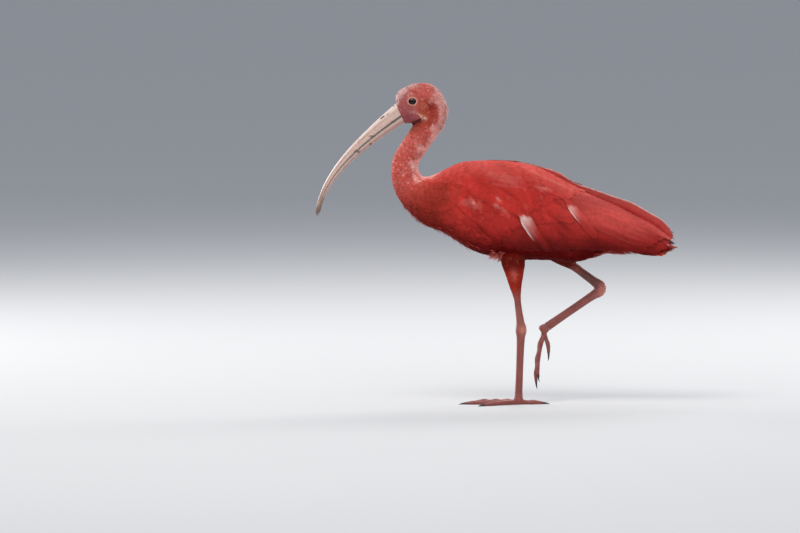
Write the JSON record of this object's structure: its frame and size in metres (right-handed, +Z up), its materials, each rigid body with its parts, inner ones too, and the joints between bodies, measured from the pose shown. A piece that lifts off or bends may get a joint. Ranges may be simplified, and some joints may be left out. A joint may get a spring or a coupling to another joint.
{
  "type": "scarlet ibis model",
  "caption": "Still, life-size scarlet ibis standing on one leg with the other lifted in mid-stride, wings closed, long down-curved bill.",
  "frame": {"origin": "middle of the bird's box at floor level, the plane of the standing foot's sole", "axes": "+X towards the tail, the bill points to -X; -Y is the bird's left side; +Z up"},
  "size_m": [0.415, 0.0902, 0.3699],
  "materials": {
    "neck_plumage": "short mottled orange-pink feathers with pale rims",
    "body_plumage": "soft scarlet contour feathers, dark red below",
    "wing_plumage": "scarlet flight and covert feathers with worn pale patches",
    "tail_plumage": "scarlet tail feathers with frayed brown-red tips",
    "leg_skin": "scaled red-brown leg skin, slightly moist",
    "bill_horn": "pale pink horn with dark blotches and a brown tip, satin",
    "eye": "dark brown, wet gloss",
    "claw": "dark horn, satin"
  },
  "bodies": {
    "root": {"head": "neck_plumage", "neck_upper": "neck_plumage", "neck_lower": "neck_plumage", "torso": "body_plumage", "tail": "tail_plumage", "wing_left": "wing_plumage", "wing_right": "wing_plumage", "thigh_left": "body_plumage", "thigh_right": "body_plumage", "shank_left": "leg_skin", "shank_right": "leg_skin", "tarsus_left": "leg_skin", "tarsus_right": "leg_skin", "foot_left": "leg_skin", "foot_right": "leg_skin", "bill_upper": "bill_horn", "bill_lower": "bill_horn", "eye_left": "eye", "eye_right": "eye", "claw_left_inner": "claw", "claw_left_middle": "claw", "claw_left_outer": "claw", "claw_left_hind": "claw", "claw_right_inner": "claw", "claw_right_middle": "claw", "claw_right_outer": "claw", "claw_right_hind": "claw"}
  },
  "joints": []
}
